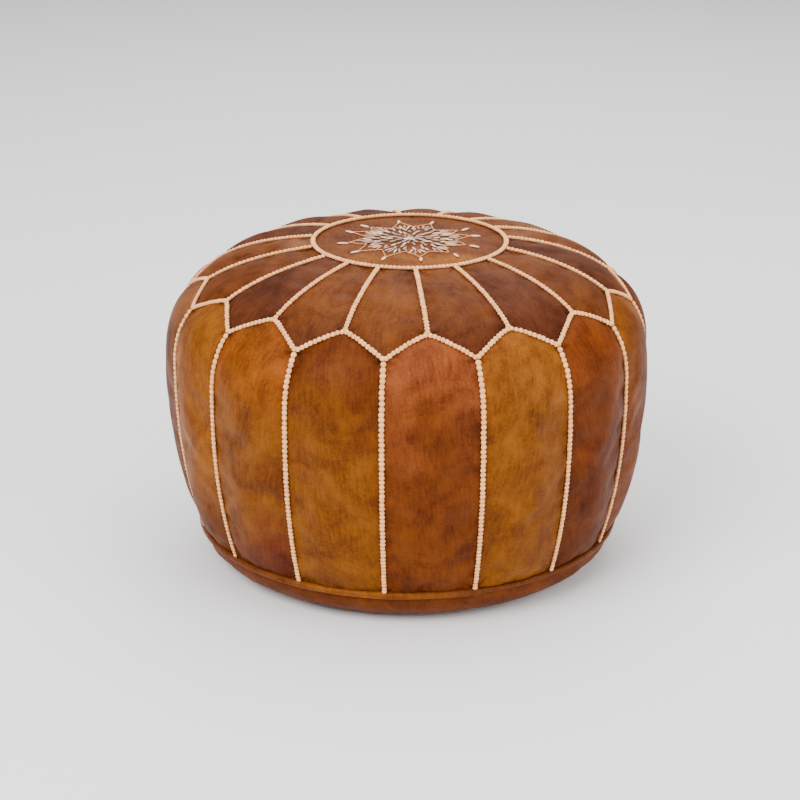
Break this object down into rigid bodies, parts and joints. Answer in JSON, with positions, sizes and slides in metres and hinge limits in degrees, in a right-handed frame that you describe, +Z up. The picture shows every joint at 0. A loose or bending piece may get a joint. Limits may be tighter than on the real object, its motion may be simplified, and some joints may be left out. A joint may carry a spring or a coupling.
{
  "type": "leather pouf",
  "caption": "Round stuffed leather floor pouf of stitched petal and side panels round an embroidered centre, with a welted base and a zip underneath.",
  "frame": {"origin": "centre of the base on the floor, at the bottom of the bounding box", "axes": "+Z up, the pouf's axis and its shortest extent; the front faces -Y; the base zip runs along X"},
  "size_m": [0.4999, 0.4999, 0.3405],
  "materials": {
    "leather_rust": "satin",
    "leather_umber": "satin",
    "leather_honey": "satin",
    "leather_tan": "satin",
    "seam_thread": "satin",
    "zip_tape": "matte",
    "zip_brass": "satin",
    "cotton": "matte",
    "cotton_filling": "matte"
  },
  "bodies": {
    "cover": {"medallion": "leather_honey", "top_petal_01": "leather_tan", "top_petal_02": "leather_umber", "top_petal_03": "leather_umber", "top_petal_04": "leather_rust", "top_petal_05": "leather_umber", "top_petal_06": "leather_umber", "top_petal_07": "leather_tan", "top_petal_08": "leather_rust", "top_petal_09": "leather_tan", "top_petal_10": "leather_umber", "top_petal_11": "leather_rust", "top_petal_12": "leather_umber", "top_petal_13": "leather_tan", "top_petal_14": "leather_rust", "top_petal_15": "leather_umber", "top_petal_16": "leather_tan", "side_panel_01": "leather_rust", "side_panel_02": "leather_honey", "side_panel_03": "leather_rust", "side_panel_04": "leather_tan", "side_panel_05": "leather_honey", "side_panel_06": "leather_rust", "side_panel_07": "leather_tan", "side_panel_08": "leather_honey", "side_panel_09": "leather_rust", "side_panel_10": "leather_honey", "side_panel_11": "leather_tan", "side_panel_12": "leather_rust", "side_panel_13": "leather_tan", "side_panel_14": "leather_honey", "side_panel_15": "leather_honey", "side_panel_16": "leather_honey", "medallion_seam": "seam_thread", "crown_seam": "seam_thread", "side_seam_01": "seam_thread", "side_seam_02": "seam_thread", "side_seam_03": "seam_thread", "side_seam_04": "seam_thread", "side_seam_05": "seam_thread", "side_seam_06": "seam_thread", "side_seam_07": "seam_thread", "side_seam_08": "seam_thread", "side_seam_09": "seam_thread", "side_seam_10": "seam_thread", "side_seam_11": "seam_thread", "side_seam_12": "seam_thread", "side_seam_13": "seam_thread", "side_seam_14": "seam_thread", "side_seam_15": "seam_thread", "side_seam_16": "seam_thread", "base_welt": "leather_tan", "base_panel_front": "leather_umber", "base_panel_back": "leather_umber", "zip_tape_front": "zip_tape", "zip_tape_back": "zip_tape", "inner_bag": "cotton", "filling": "cotton_filling"},
    "slider": {"zip_slider": "zip_brass"},
    "pull": {"zip_pull": "zip_brass"}
  },
  "joints": [
    {"name": "zip_slide", "type": "slide", "parent": "cover", "child": "slider", "axis": [-1, 0, 0], "range_m": [0, 0.216]},
    {"name": "zip_pull_hinge", "type": "hinge", "parent": "slider", "child": "pull", "pos_m": [0.108, 0, 0.00745], "axis": [0, -1, 0], "range_deg": [-12, 154]}
  ]
}
